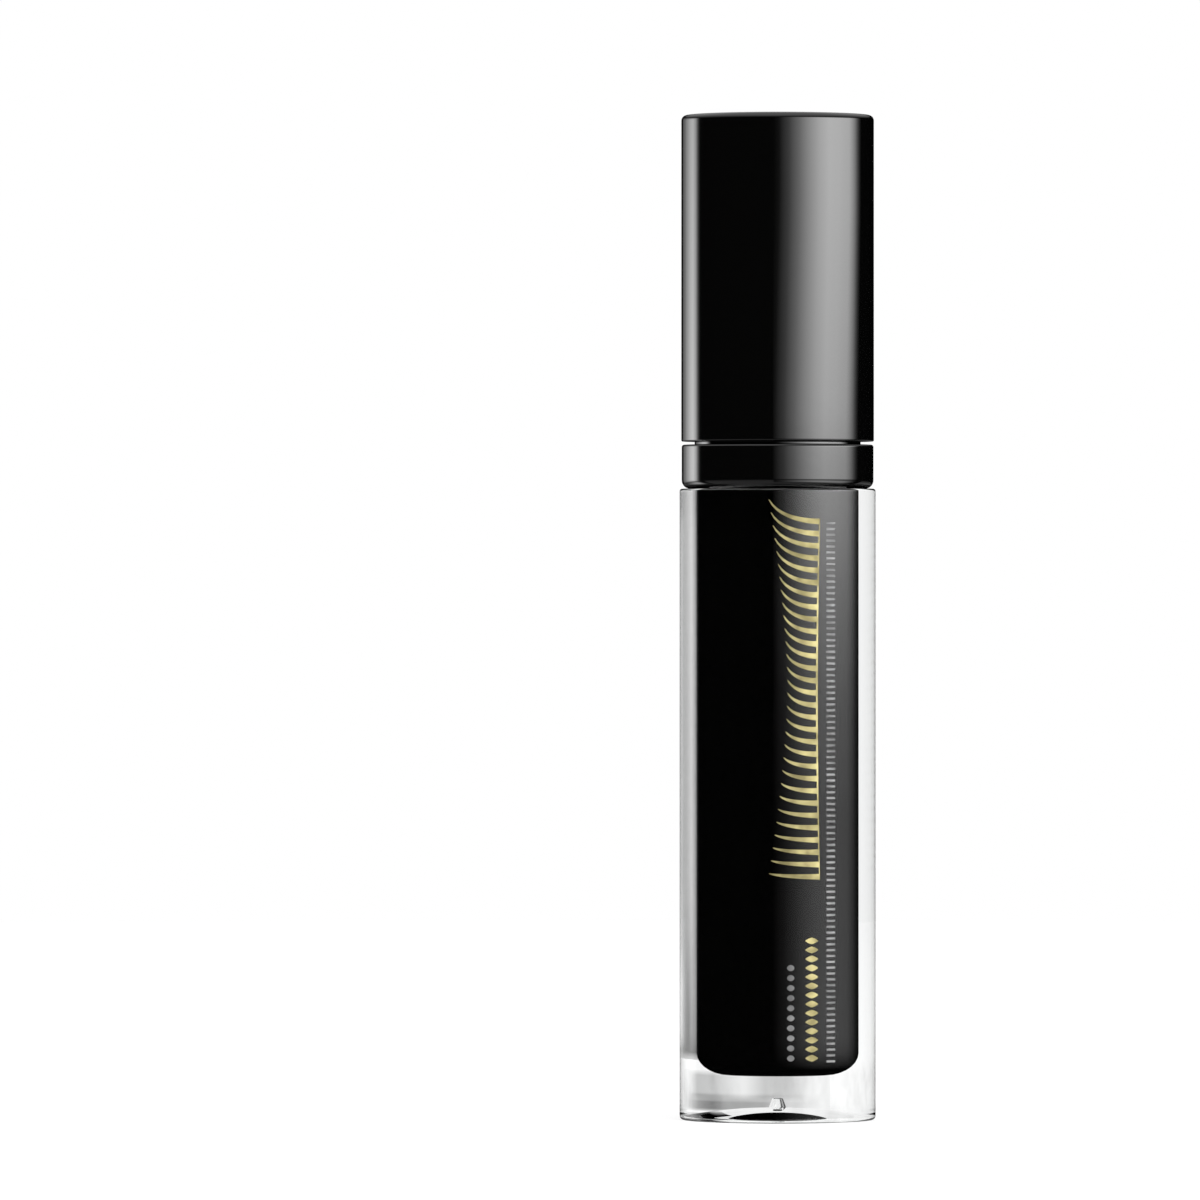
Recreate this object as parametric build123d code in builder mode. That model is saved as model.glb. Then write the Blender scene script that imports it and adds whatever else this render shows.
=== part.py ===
from build123d import *
from math import sqrt
import os

# Mascara: a black vial of formula inside a clear heavy-walled bottle, closed by a screw cap
# that carries a wand and a twisted-wire brush.
# Millimetres, +Z up, origin at the centre of the face that the bottle stands on.
# Every piece is shown in its closed place, with the cap screwed down.

# ---------------------------------------------------------------- driving dimensions
total_height = 121.0
bottle_radius = 11.8
bottle_top = 76.0
base_thickness = 5.45
vial_radius = 6.55
vial_wall = 0.7
collar_radius = 11.55
collar_top = 81.3
cap_radius = 11.6
cap_rim = 81.7
cap_wall = 1.2
cap_top_thickness = 1.6
rod_radius = 2.15
rod_tip = 36.7
brush_radius = 3.6
brush_length = 25.8
neck_radius = 5.6
neck_bore_radius = 4.6
neck_top = 93.0
thread_pitch = 2.5
thread_turns = 1.25
unscrew_turns = 1.5
thread_play = 0.15

# Gaps between pieces that touch or slide.
fit_gap = 0.05
face_gap = 0.02
running_gap = 0.1
weight_gap = 0.2


def turn(outline, mode=Mode.ADD):
    """Turn a closed outline of (radius, height) corners about the tube's axis."""
    with BuildSketch(Plane.XZ) as section:
        with BuildLine():
            Polyline(*outline, close=True)
        make_face()
    revolve(section.sketch, axis=Axis.Z, mode=mode)


def disc(radius, bottom, top, mode=Mode.ADD):
    """A round plate or plug between two heights."""
    with BuildSketch(Plane.XY.offset(bottom)) as face:
        Circle(radius)
    extrude(face.sketch, amount=top - bottom, mode=mode)


def thread(root_radius, ridge_depth, start_height):
    """A right-hand ridge on a root cylinder; a negative depth points it at the axis."""
    path = Helix(
        pitch=thread_pitch,
        height=thread_pitch * thread_turns,
        radius=root_radius,
        center=(0, 0, start_height),
        mode=Mode.PRIVATE,
    )
    sunk = -0.15 if ridge_depth > 0 else 0.15
    corners = [
        (sunk, -thread_root_width / 2),
        (ridge_depth, -thread_crest_width / 2),
        (ridge_depth, thread_crest_width / 2),
        (sunk, thread_root_width / 2),
    ]
    with BuildSketch(Plane(origin=path @ 0, x_dir=(1, 0, 0), z_dir=path % 0)) as section:
        with BuildLine():
            Polyline(*corners, close=True)
        make_face()
    sweep(section.sketch, path=path, is_frenet=True)


def ribs(count, thickness, outline):
    """Flat ribs standing on radial planes, shared evenly round the axis."""
    with BuildSketch(Plane.XZ) as section:
        with BuildLine():
            Polyline(*outline, close=True)
        make_face()
    rib = extrude(section.sketch, amount=thickness / 2, both=True, mode=Mode.PRIVATE)
    with PolarLocations(0, count):
        add(rib)


def circles_at(piece, radius, height):
    """The piece's circular edges with this radius at this height."""
    rings = piece.edges().filter_by(GeomType.CIRCLE)
    return rings.filter_by(
        lambda ring: abs(ring.radius - radius) < 1e-3 and abs(ring.center().Z - height) < 1e-3
    )


# ---------------------------------------------------------------- outer bottle
# Clear, thick-walled, open at the top, with a solid base that is domed underneath. Seen from
# the side, the dome mirrors the vial's black floor.
foot_fillet = 0.5
mouth_fillet = 0.3
vial_foot_fillet = 2.6
dome_radius = 8.9
dome_height = 1.65
dome_ball_radius = (dome_radius**2 + dome_height**2) / (2 * dome_height)

with BuildPart() as outer_bottle:
    disc(bottle_radius, 0, bottle_top)
    disc(vial_radius + fit_gap, base_thickness - fit_gap, bottle_top, mode=Mode.SUBTRACT)
    with Locations((0, 0, dome_height - dome_ball_radius)):
        Sphere(dome_ball_radius, mode=Mode.SUBTRACT)
    fillet(circles_at(outer_bottle, bottle_radius, 0), foot_fillet)
    fillet(circles_at(outer_bottle, bottle_radius, bottle_top), mouth_fillet)
    fillet(
        circles_at(outer_bottle, vial_radius + fit_gap, base_thickness - fit_gap),
        vial_foot_fillet,
    )

# ---------------------------------------------------------------- thread form
# The cap's ridge rides under the neck's ridge, which is what pulls the cap down on its seal.
thread_root_width = 1.2
thread_crest_width = 0.6
neck_thread_depth = 0.58
neck_thread_start = 84.8
cap_thread_bore = 6.38
cap_thread_depth = 0.6
crest_gap = cap_thread_bore - cap_thread_depth - neck_radius
flank_slope = (thread_root_width - thread_crest_width) / 2 / cap_thread_depth
flank_reach = (thread_root_width + thread_crest_width) / 2 - flank_slope * crest_gap
thread_drop = flank_reach + thread_play

# ---------------------------------------------------------------- inner vial
vial_bore_radius = vial_radius - vial_wall
vial_floor = base_thickness + 0.9
flange_radius = 8.5
flange_bottom = bottle_top + face_gap
flange_top = 77.2
land_radius = 6.3
land_top = 81.5
shoulder_bottom = 77.5
shoulder_top = 79.5
bead_height = 90.0
bead_half_width = 0.25
bead_depth = 0.2

with BuildPart() as inner_vial:
    turn([
        (0, base_thickness),
        (vial_radius, base_thickness),
        (vial_radius, flange_bottom),
        (flange_radius, flange_bottom),
        (flange_radius, flange_top),
        (land_radius, flange_top),
        (land_radius, land_top),
        (neck_radius, land_top),
        (neck_radius, neck_top),
        (neck_bore_radius, neck_top),
        (neck_bore_radius, shoulder_top),
        (vial_bore_radius, shoulder_bottom),
        (vial_bore_radius, vial_floor),
        (0, vial_floor),
    ])
    fillet(circles_at(inner_vial, vial_radius, base_thickness), vial_foot_fillet)
    fillet(circles_at(inner_vial, vial_bore_radius, vial_floor), vial_foot_fillet - vial_wall)
    chamfer(circles_at(inner_vial, neck_radius, neck_top), 0.2)
    disc(
        neck_bore_radius + bead_depth,
        bead_height - bead_half_width - running_gap,
        bead_height + bead_half_width + running_gap,
        mode=Mode.SUBTRACT,
    )
    thread(neck_radius, neck_thread_depth, neck_thread_start)

# ---------------------------------------------------------------- collar ring
# Snapped over the vial's neck: it clamps the vial's flange down on the bottle's rim.
collar_bottom = bottle_top + face_gap
collar_lower_fillet = 1.0
collar_upper_fillet = 0.25
boss_radius = 10.0
boss_top = 82.1

with BuildPart() as collar_ring:
    turn([
        (flange_radius + fit_gap, collar_bottom),
        (collar_radius, collar_bottom),
        (collar_radius, collar_top),
        (boss_radius, collar_top),
        (boss_radius, boss_top),
        (land_radius + fit_gap, boss_top),
        (land_radius + fit_gap, flange_top + fit_gap),
        (flange_radius + fit_gap, flange_top + fit_gap),
    ])
    fillet(circles_at(collar_ring, collar_radius, collar_bottom), collar_lower_fillet)
    fillet(circles_at(collar_ring, collar_radius, collar_top), collar_upper_fillet)
    fillet(circles_at(collar_ring, boss_radius, boss_top), collar_upper_fillet)

# ---------------------------------------------------------------- wiper
# A soft funnel in the neck: its small orifice wipes the rod and the brush.
wiper_flange_radius = 5.5
wiper_flange_top = neck_top + 0.8
wiper_radius = neck_bore_radius - fit_gap
wiper_bore_radius = 3.8
orifice_radius = rod_radius + running_gap
orifice_bottom = 82.8
orifice_top = 83.6

with BuildPart() as wiper:
    turn([
        (wiper_flange_radius, neck_top + face_gap),
        (wiper_flange_radius, wiper_flange_top),
        (wiper_bore_radius + 0.3, wiper_flange_top),
        (wiper_bore_radius, wiper_flange_top - 0.3),
        (wiper_bore_radius, bead_height - 1.5),
        (orifice_radius, orifice_top),
        (orifice_radius, orifice_bottom),
        (orifice_radius + 0.8, orifice_bottom),
        (wiper_radius, bead_height - 2.5),
        (wiper_radius, bead_height - bead_half_width),
        (wiper_radius + bead_depth, bead_height),
        (wiper_radius, bead_height + bead_half_width),
        (wiper_radius, neck_top + face_gap),
    ])

# ---------------------------------------------------------------- formula
# The paste in the vial, with the room that the rod and the brush take in it, at rest and as
# far up as the thread lifts them.
formula_level = 70.0
formula_floor = vial_floor + fit_gap
formula_radius = vial_bore_radius - fit_gap
brush_top = rod_tip - 0.7
brush_tip = brush_top - brush_length
brush_room_radius = brush_radius + 0.2
brush_room_top = (brush_top + rod_tip) / 2 + unscrew_turns * thread_pitch
rod_room_radius = rod_radius + 0.3

with BuildPart() as mascara_formula:
    turn([
        (0, formula_floor),
        (formula_radius, formula_floor),
        (formula_radius, formula_level),
        (rod_room_radius, formula_level),
        (rod_room_radius, brush_room_top),
        (brush_room_radius, brush_room_top),
        (brush_room_radius, brush_tip - 0.4),
        (0, brush_tip - 0.4),
    ])
    fillet(
        circles_at(mascara_formula, formula_radius, formula_floor),
        vial_foot_fillet - vial_wall,
    )

# ---------------------------------------------------------------- cap shell
cap_bore_radius = cap_radius - cap_wall
cap_ceiling = total_height - cap_top_thickness
cap_top_fillet = 0.7
cap_rim_fillet = 0.2
snap_height = 83.3
snap_half_width = 0.2
snap_depth = 0.17

with BuildPart() as cap_shell:
    disc(cap_radius, cap_rim, total_height)
    disc(cap_bore_radius, cap_rim, cap_ceiling, mode=Mode.SUBTRACT)
    disc(
        cap_bore_radius + snap_depth,
        snap_height - snap_half_width - fit_gap,
        snap_height + snap_half_width + fit_gap,
        mode=Mode.SUBTRACT,
    )
    fillet(circles_at(cap_shell, cap_radius, total_height), cap_top_fillet)
    fillet(circles_at(cap_shell, cap_radius, cap_rim), cap_rim_fillet)
    fillet(circles_at(cap_shell, cap_bore_radius, cap_rim), cap_rim_fillet)

# ---------------------------------------------------------------- inner cap
# The threaded liner that snaps into the shell, holds the rod, and cages the weight above it.
liner_bottom = 82.6
liner_flange_radius = cap_bore_radius - fit_gap
liner_flange_top = 84.0
sleeve_radius = 7.6
sleeve_top = 94.0
seal_room_top = neck_top + 1.62
liner_ceiling_top = 96.2
cage_radius = 8.9
cage_bore_radius = 7.7
cage_top = cap_ceiling - weight_gap
weight_seat = 112.75
socket_radius = rod_radius + fit_gap
socket_top = 104.6
hub_radius = 3.6
hub_top = socket_top + 1.2
rod_bead_height = 101.0

with BuildPart() as inner_cap:
    turn([
        (cap_thread_bore, liner_bottom),
        (liner_flange_radius, liner_bottom),
        (liner_flange_radius, snap_height - snap_half_width),
        (liner_flange_radius + snap_depth, snap_height),
        (liner_flange_radius, snap_height + snap_half_width),
        (liner_flange_radius, liner_flange_top),
        (sleeve_radius, liner_flange_top),
        (sleeve_radius, sleeve_top),
        (cage_radius, liner_ceiling_top),
        (cage_radius, cage_top),
        (cage_bore_radius, cage_top),
        (cage_bore_radius, liner_ceiling_top),
        (hub_radius, liner_ceiling_top),
        (hub_radius, hub_top),
        (0, hub_top),
        (0, seal_room_top),
        (cap_thread_bore, seal_room_top),
    ])
    ribs(6, 1.0, [
        (sleeve_radius - 0.2, liner_flange_top - 0.2),
        (liner_flange_radius, liner_flange_top - 0.2),
        (liner_flange_radius, cage_top - 1.0),
        (cage_radius - 0.2, cage_top - 1.0),
        (cage_radius - 0.2, liner_ceiling_top),
        (sleeve_radius - 0.2, sleeve_top),
    ])
    ribs(4, 1.2, [
        (hub_radius - 0.4, liner_ceiling_top - 0.2),
        (cage_bore_radius + 0.2, liner_ceiling_top - 0.2),
        (cage_bore_radius + 0.2, weight_seat),
        (cage_bore_radius - 2.0, weight_seat),
        (hub_radius - 0.4, socket_top - 1.0),
    ])
    disc(socket_radius, seal_room_top - 0.1, socket_top, mode=Mode.SUBTRACT)
    disc(
        socket_radius + 0.3,
        rod_bead_height - 0.5,
        rod_bead_height + 0.5,
        mode=Mode.SUBTRACT,
    )
    thread(cap_thread_bore, -cap_thread_depth, neck_thread_start - thread_drop)

# ---------------------------------------------------------------- seal washer
# A loose liner that the cap presses down on the wiper's flange; the rod passes through it.
washer_radius = 5.55
washer_hole_radius = rod_radius + weight_gap

with BuildPart() as seal_washer:
    disc(washer_radius, wiper_flange_top + face_gap, seal_room_top - face_gap)
    disc(
        washer_hole_radius,
        wiper_flange_top,
        seal_room_top,
        mode=Mode.SUBTRACT,
    )

# ---------------------------------------------------------------- cap weight
weight_radius = cage_bore_radius - weight_gap
weight_height = 6.0

with BuildPart() as cap_weight:
    disc(weight_radius, weight_seat + running_gap, weight_seat + running_gap + weight_height)
    chamfer(cap_weight.edges().filter_by(GeomType.CIRCLE), 0.5)

# ---------------------------------------------------------------- wand rod
rod_top = socket_top - 0.4
rod_bead_depth = 0.27
wire_bore_radius = 0.72
wire_anchor = 9.8

with BuildPart() as wand_rod:
    disc(rod_radius, rod_tip, rod_top)
    fillet(circles_at(wand_rod, rod_radius, rod_tip), 0.5)
    chamfer(circles_at(wand_rod, rod_radius, rod_top), 0.4)
    turn([
        (rod_radius - 0.2, rod_bead_height - 0.4),
        (rod_radius, rod_bead_height - 0.4),
        (rod_radius + rod_bead_depth, rod_bead_height),
        (rod_radius, rod_bead_height + 0.4),
        (rod_radius - 0.2, rod_bead_height + 0.4),
    ])
    disc(wire_bore_radius, rod_tip, rod_tip + wire_anchor + 0.3, mode=Mode.SUBTRACT)

# ---------------------------------------------------------------- brush wire
# One wire bent double and twisted: the bend is the brush's tip, the ends are in the rod.
wire_radius = 0.3
strand_radius = 0.33
twist_pitch = 5.6
bend_centre = brush_tip + strand_radius + wire_radius
strand_height = rod_tip + wire_anchor - bend_centre

with BuildPart() as brush_wire:
    strand_path = Helix(
        pitch=twist_pitch,
        height=strand_height,
        radius=strand_radius,
        center=(0, 0, bend_centre),
        mode=Mode.PRIVATE,
    )
    strand_start = Plane(origin=strand_path @ 0, x_dir=(1, 0, 0), z_dir=strand_path % 0)
    with BuildSketch(strand_start):
        Circle(wire_radius)
    strand = sweep(path=strand_path, is_frenet=True, mode=Mode.PRIVATE)
    with PolarLocations(0, 2):
        add(strand)
    with BuildSketch(Plane.XY.offset(bend_centre)) as bend_section:
        with Locations((strand_radius, 0)):
            Circle(wire_radius)
    bend_axis = Axis((0, 0, bend_centre), (0, 1, 0))
    revolve(bend_section.sketch, axis=bend_axis, revolution_arc=180)

# ---------------------------------------------------------------- brush bristles
# The fibres as one soft bullet, ringed by the grooves that the twisted wire leaves in them.
bristle_bore_radius = 0.7
bristle_bottom = brush_tip + 0.4
bristle_rows = 18
groove_depth = 0.45
nose_length = 6.0
tip_radius = 1.2
heel_to_nose_taper = 0.3


def bristle_radius(height):
    """Half width of the brush: a slight taper, then an elliptical nose at the tip."""
    along = (height - bristle_bottom) / (brush_top - bristle_bottom)
    barrel = brush_radius - heel_to_nose_taper * (1 - along)
    into_nose = max(0, 1 - (height - bristle_bottom) / nose_length)
    return tip_radius + (barrel - tip_radius) * sqrt(1 - into_nose**2)


row_pitch = (brush_top - bristle_bottom) / bristle_rows
bristle_outline = [(bristle_bore_radius, bristle_bottom)]
for row in range(bristle_rows):
    row_bottom = bristle_bottom + row * row_pitch
    bristle_outline.append((bristle_radius(row_bottom) - groove_depth, row_bottom))
    bristle_outline.append((bristle_radius(row_bottom + row_pitch / 2), row_bottom + row_pitch / 2))
bristle_outline.append((brush_radius - groove_depth, brush_top))
bristle_outline.append((bristle_bore_radius, brush_top))

with BuildPart() as brush_bristles:
    turn(bristle_outline)

# ---------------------------------------------------------------- labels and files
pieces = {
    "outer_bottle": outer_bottle,
    "inner_vial": inner_vial,
    "collar_ring": collar_ring,
    "wiper": wiper,
    "mascara_formula": mascara_formula,
    "cap_shell": cap_shell,
    "inner_cap": inner_cap,
    "seal_washer": seal_washer,
    "cap_weight": cap_weight,
    "wand_rod": wand_rod,
    "brush_wire": brush_wire,
    "brush_bristles": brush_bristles,
}

os.makedirs("parts", exist_ok=True)
for name, piece in pieces.items():
    piece.part.label = name
    export_step(piece.part, f"parts/{name}.step")
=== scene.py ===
import random
from math import cos, pi, radians, sin, sqrt, tan

import bmesh
import bpy
from mathutils import Matrix, Vector


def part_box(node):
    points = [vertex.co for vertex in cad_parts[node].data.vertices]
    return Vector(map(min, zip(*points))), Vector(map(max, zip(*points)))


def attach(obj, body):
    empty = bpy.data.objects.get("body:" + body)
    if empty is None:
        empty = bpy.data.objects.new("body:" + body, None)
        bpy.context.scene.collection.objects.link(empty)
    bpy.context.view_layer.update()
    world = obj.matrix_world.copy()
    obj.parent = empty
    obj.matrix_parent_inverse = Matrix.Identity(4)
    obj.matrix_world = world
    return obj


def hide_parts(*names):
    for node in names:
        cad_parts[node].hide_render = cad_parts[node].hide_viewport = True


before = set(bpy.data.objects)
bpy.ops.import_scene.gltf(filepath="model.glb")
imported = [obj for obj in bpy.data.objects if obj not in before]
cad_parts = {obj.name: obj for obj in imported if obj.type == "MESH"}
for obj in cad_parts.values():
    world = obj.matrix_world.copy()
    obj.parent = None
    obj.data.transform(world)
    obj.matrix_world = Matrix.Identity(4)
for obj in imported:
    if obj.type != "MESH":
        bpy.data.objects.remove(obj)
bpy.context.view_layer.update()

# A closed mascara on a white stage. Lengths in this script are in millimetres and become metres
# when a mesh is made; the materials measure in metres. Heights and radii come from the frame's
# boxes wherever a node gives them.
MM = 0.001


def low(node):
    """The node's lowest height, in millimetres."""
    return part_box(node)[0].z / MM


def high(node):
    """The node's highest height, in millimetres."""
    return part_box(node)[1].z / MM


def reach(node):
    """The node's largest radius, in millimetres."""
    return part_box(node)[1].x / MM


BOTTLE_R = reach("outer_bottle")
BOTTLE_TOP = high("outer_bottle")
COLLAR_R = reach("collar_ring")
COLLAR_BOTTOM = low("collar_ring")
BOSS_R = 10.0
BOSS_TOP = high("collar_ring")
BOSS_HEIGHT = 0.8
COLLAR_TOP = BOSS_TOP - BOSS_HEIGHT
CAP_R = reach("cap_shell")
CAP_RIM = low("cap_shell")
CAP_TOP = high("cap_shell")
CAP_WALL = 1.2
CAP_ROOF = 1.6
VIAL_R = 6.55
VIAL_WALL = 0.7
VIAL_BOTTOM = low("inner_vial")
VIAL_FLOOR = 0.9
VIAL_FOOT = 2.6
FLANGE_R = reach("inner_vial")
FLANGE_THICK = 1.18
FLANGE_TOP = COLLAR_BOTTOM + FLANGE_THICK
NECK_TOP = high("inner_vial")
NECK_R = 5.6
NECK_BORE = 4.6
BORE_CONE_BOTTOM = 77.5
BORE_CONE_TOP = 79.5
LAND_R = 6.3
LAND_TOP = 81.5
ROD_R = 2.15
ROD_TIP = low("wand_rod")
ROD_TOP = high("wand_rod")
BRUSH_TIP = low("brush_bristles")
BRUSH_TOP = high("brush_bristles")
BRUSH_R = 3.6
FIT_GAP = 0.05


# ------------------------------------------------------------------ mesh helpers
ARC_STEPS = 7
HOLD_MARGIN = 0.08
LONG_RUN = 0.8
HARD_EDGE = 32
SOFT_EDGE = 60


def rounded(corners):
    """Corners (radius, height, rounding) as (radius, height) points, with arcs at the corners."""
    points = []
    count = len(corners)
    for i, (r, z, rounding) in enumerate(corners):
        corner = Vector((r, z))
        if rounding == 0:
            points.append((r, z))
            continue
        to_last = Vector(corners[i - 1][:2]) - corner
        to_next = Vector(corners[(i + 1) % count][:2]) - corner
        to_last.normalize()
        to_next.normalize()
        half = to_last.angle(to_next) / 2
        centre = corner + (to_last + to_next).normalized() * rounding / sin(half)
        start = corner + to_last * rounding / tan(half) - centre
        sweep = start.angle_signed(corner + to_next * rounding / tan(half) - centre)
        for k in range(ARC_STEPS + 1):
            spoke = start.copy()
            spoke.rotate(Matrix.Rotation(-sweep * k / ARC_STEPS, 2))
            points.append(tuple(centre + spoke))
    return held(points)


def held(points):
    """Extra points close to both ends of long straight runs, so that smooth shading stays true."""
    kept = []
    for i, start in enumerate(points):
        end = points[(i + 1) % len(points)]
        kept.append(start)
        run = Vector(end) - Vector(start)
        if run.length > LONG_RUN:
            step = run * (HOLD_MARGIN / run.length)
            kept += [tuple(Vector(start) + step), tuple(Vector(end) - step)]
    return kept


def lathe(outline, segments):
    """Vertices and faces of a closed outline of (radius, height) points turned about Z."""
    verts, faces, rings = [], [], []
    for r, z in outline:
        if r < 1e-6:
            rings.append([len(verts)] * segments)
            verts.append((0, 0, z))
            continue
        rings.append(list(range(len(verts), len(verts) + segments)))
        for k in range(segments):
            turn = 2 * pi * k / segments
            verts.append((r * cos(turn), r * sin(turn), z))
    for i, ring in enumerate(rings):
        after = rings[(i + 1) % len(rings)]
        for k in range(segments):
            n = (k + 1) % segments
            corners = [ring[k], ring[n], after[n], after[k]]
            face = list(dict.fromkeys(corners))
            if len(face) > 2:
                faces.append(face)
    return verts, faces


def tube(path, radii, sides):
    """Vertices and faces of a closed tube along a path of points, with a radius at each."""
    verts, faces = [], []
    across = None
    for i, point in enumerate(path):
        ahead = path[min(i + 1, len(path) - 1)] - path[max(i - 1, 0)]
        ahead.normalize()
        if across is None:
            across = ahead.orthogonal().normalized()
        across = (across - ahead * across.dot(ahead)).normalized()
        other = ahead.cross(across)
        for k in range(sides):
            turn = 2 * pi * k / sides
            verts.append(tuple(point + (across * cos(turn) + other * sin(turn)) * radii[i]))
    for i in range(len(path) - 1):
        for k in range(sides):
            n = (k + 1) % sides
            a = i * sides
            faces.append([a + k, a + n, a + sides + n, a + sides + k])
    faces.append(list(range(sides))[::-1])
    faces.append(list(range(len(verts) - sides, len(verts))))
    return verts, faces


def merged(*shapes):
    """Several (vertices, faces) shapes as one."""
    verts, faces = [], []
    for more_verts, more_faces in shapes:
        start = len(verts)
        verts.extend(more_verts)
        faces.extend([start + i for i in face] for face in more_faces)
    return verts, faces


def piece(name, shape, material, body, sharp=HARD_EDGE):
    """A new mesh piece in the row frame that rides on a body. Edges bent by more than sharp
    degrees stay hard."""
    verts, faces = shape
    mesh = bpy.data.meshes.new(name)
    mesh.from_pydata([tuple(c * MM for c in v) for v in verts], [], faces)
    mesh.validate()
    tidy = bmesh.new()
    tidy.from_mesh(mesh)
    bmesh.ops.recalc_face_normals(tidy, faces=tidy.faces)
    tidy.to_mesh(mesh)
    tidy.free()
    mesh.polygons.foreach_set("use_smooth", [True] * len(mesh.polygons))
    mesh.set_sharp_from_angle(angle=radians(sharp))
    mesh.materials.append(material)
    made = bpy.data.objects.new(name, mesh)
    bpy.context.scene.collection.objects.link(made)
    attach(made, body)
    return made


def dress(node, material):
    """Give a CAD node a material and smooth shading."""
    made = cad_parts[node]
    made.data.materials.clear()
    made.data.materials.append(material)
    made.data.polygons.foreach_set("use_smooth", [True] * len(made.data.polygons))
    made.data.set_sharp_from_angle(angle=radians(HARD_EDGE))


# ------------------------------------------------------------------ material helpers
# The Mix node has sockets of the same names for each kind of data, so its colour ones go by number.
MIX_FIRST, MIX_SECOND, MIX_RESULT = 6, 7, 2
PLASTIC_IOR = 1.5
RELIEF = 0.00002
WHITE = (1, 1, 1, 1)


class Nodes:
    """A node material with one Principled shader, built step by step."""

    def __init__(self, name, **sockets):
        self.material = bpy.data.materials.new(name)
        self.material.use_nodes = True
        self.tree = self.material.node_tree
        self.shader = self.tree.nodes["Principled BSDF"]
        for socket, value in sockets.items():
            self.shader.inputs[socket.replace("_", " ")].default_value = value
        self.place = self.tree.nodes.new("ShaderNodeTexCoord").outputs["Object"]

    def add(self, kind, inputs=(), **settings):
        """A node of a kind with settings, whose inputs are values or sockets."""
        node = self.tree.nodes.new("ShaderNode" + kind)
        for key, value in settings.items():
            setattr(node, key, value)
        for key, value in dict(inputs).items():
            self.feed(node.inputs[key], value)
        return node

    def feed(self, socket, value):
        """Set a socket to a value, or link it to another node's output."""
        if isinstance(value, bpy.types.NodeSocket):
            self.tree.links.new(value, socket)
        else:
            socket.default_value = value

    def stretched(self, x, y, z):
        """Object coordinates scaled differently along each axis."""
        return self.add("Mapping", {"Vector": self.place, "Scale": (x, y, z)}).outputs["Vector"]

    def noise(self, scale, detail, roughness=0.5, where=None):
        """A noise value from 0 to 1 with features about 1 / scale metres across."""
        inputs = {
            "Vector": where or self.place,
            "Scale": scale,
            "Detail": detail,
            "Roughness": roughness,
        }
        return self.add("TexNoise", inputs).outputs["Fac"]

    def spread(self, value, start, end, lowest, highest):
        """Map a value from start..end to lowest..highest, clamped."""
        inputs = {
            "Value": value,
            "From Min": start,
            "From Max": end,
            "To Min": lowest,
            "To Max": highest,
        }
        return self.add("MapRange", inputs).outputs["Result"]

    def combined(self, a, b, operation):
        """Two values put together by a Math node's operation."""
        return self.add("Math", {0: a, 1: b}, operation=operation).outputs["Value"]

    def blend_colour(self, share, first, second):
        """The first colour where share is 0, the second where it is 1."""
        mix = self.add("Mix", {"Factor": share}, data_type="RGBA")
        self.feed(mix.inputs[MIX_FIRST], first)
        self.feed(mix.inputs[MIX_SECOND], second)
        return mix.outputs[MIX_RESULT]

    def paint(self, socket, value):
        """Feed one of the shader's sockets."""
        self.feed(self.shader.inputs[socket], value)

    def bump(self, height, strength, distance):
        """Raise the surface by a height value: distance is its depth in metres."""
        inputs = {"Height": height, "Strength": strength, "Distance": distance}
        self.paint("Normal", self.add("Bump", inputs).outputs["Normal"])


def grey(value):
    """An opaque grey."""
    return (value, value, value, 1)


def gloss_black(name, roughness):
    """Polished black moulding: a hint of orange peel, hairline rub marks and a faint film."""
    m = Nodes(name, Base_Color=grey(0.0012), IOR=PLASTIC_IOR)
    film = m.noise(140, 3.0, 0.6)
    hairs = m.noise(900, 2.0, 0.5, m.stretched(1.0, 1.0, 0.03))
    rub = m.spread(hairs, 0.66, 0.74, 0.0, 0.05)
    haze = m.spread(film, 0.45, 0.8, roughness, roughness + 0.03)
    m.paint("Roughness", m.combined(haze, rub, "ADD"))
    m.bump(m.noise(700, 1.0), 0.12, 0.000012)
    return m.material


# Heights in metres: the base's grey streaks are full up to the first and gone from the second.
BASE_GREY_FULL = 0.0055
BASE_GREY_GONE = 0.0075


def clear_acrylic():
    """Polished acrylic: clear, with barely waved walls, a few fine rub marks, and faint grey
    streaks tinted into its thick base."""
    m = Nodes("clear_acrylic", IOR=1.49, Transmission_Weight=1.0)
    height = m.add("SeparateXYZ", {"Vector": m.place}).outputs["Z"]
    in_base = m.spread(height, BASE_GREY_FULL, BASE_GREY_GONE, 1.0, 0.0)
    folds = m.noise(200, 3.0, 0.6, m.stretched(1.0, 1.0, 0.45))
    flow = m.spread(folds, 0.48, 0.66, 0.0, 1.0)
    # Grey streaks tinted into the base colour below BASE_GREY_GONE; they darken what is seen
    # through the thick base.
    marks = m.combined(in_base, flow, "MULTIPLY")
    m.paint("Base Color", m.blend_colour(marks, (0.965, 0.972, 0.97, 1), grey(0.68)))
    hairs = m.noise(1100, 2.0, 0.5, m.stretched(1.0, 1.0, 0.05))
    m.paint("Roughness", m.spread(hairs, 0.68, 0.76, 0.0, 0.06))
    m.bump(m.noise(90, 1.0), 0.2, RELIEF)
    return m.material


def vial_black():
    """Black polypropylene, satin, with flow marks along its length."""
    m = Nodes("vial_black", Base_Color=grey(0.0015), IOR=PLASTIC_IOR, Specular_IOR_Level=0.0)
    flow = m.noise(260, 3.0, 0.6, m.stretched(1.0, 1.0, 0.15))
    m.paint("Roughness", m.spread(flow, 0.3, 0.8, 0.22, 0.4))
    m.bump(flow, 0.15, RELIEF)
    return m.material


def neck_black():
    """The vial's bare neck and thread: moulded satin black with fine tool marks."""
    m = Nodes("neck_black", Base_Color=grey(0.012), IOR=PLASTIC_IOR)
    marks = m.noise(1600, 3.0, 0.6, m.stretched(0.2, 0.2, 1.0))
    m.paint("Roughness", m.spread(marks, 0.3, 0.8, 0.24, 0.42))
    m.bump(marks, 0.3, RELIEF)
    return m.material


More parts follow.
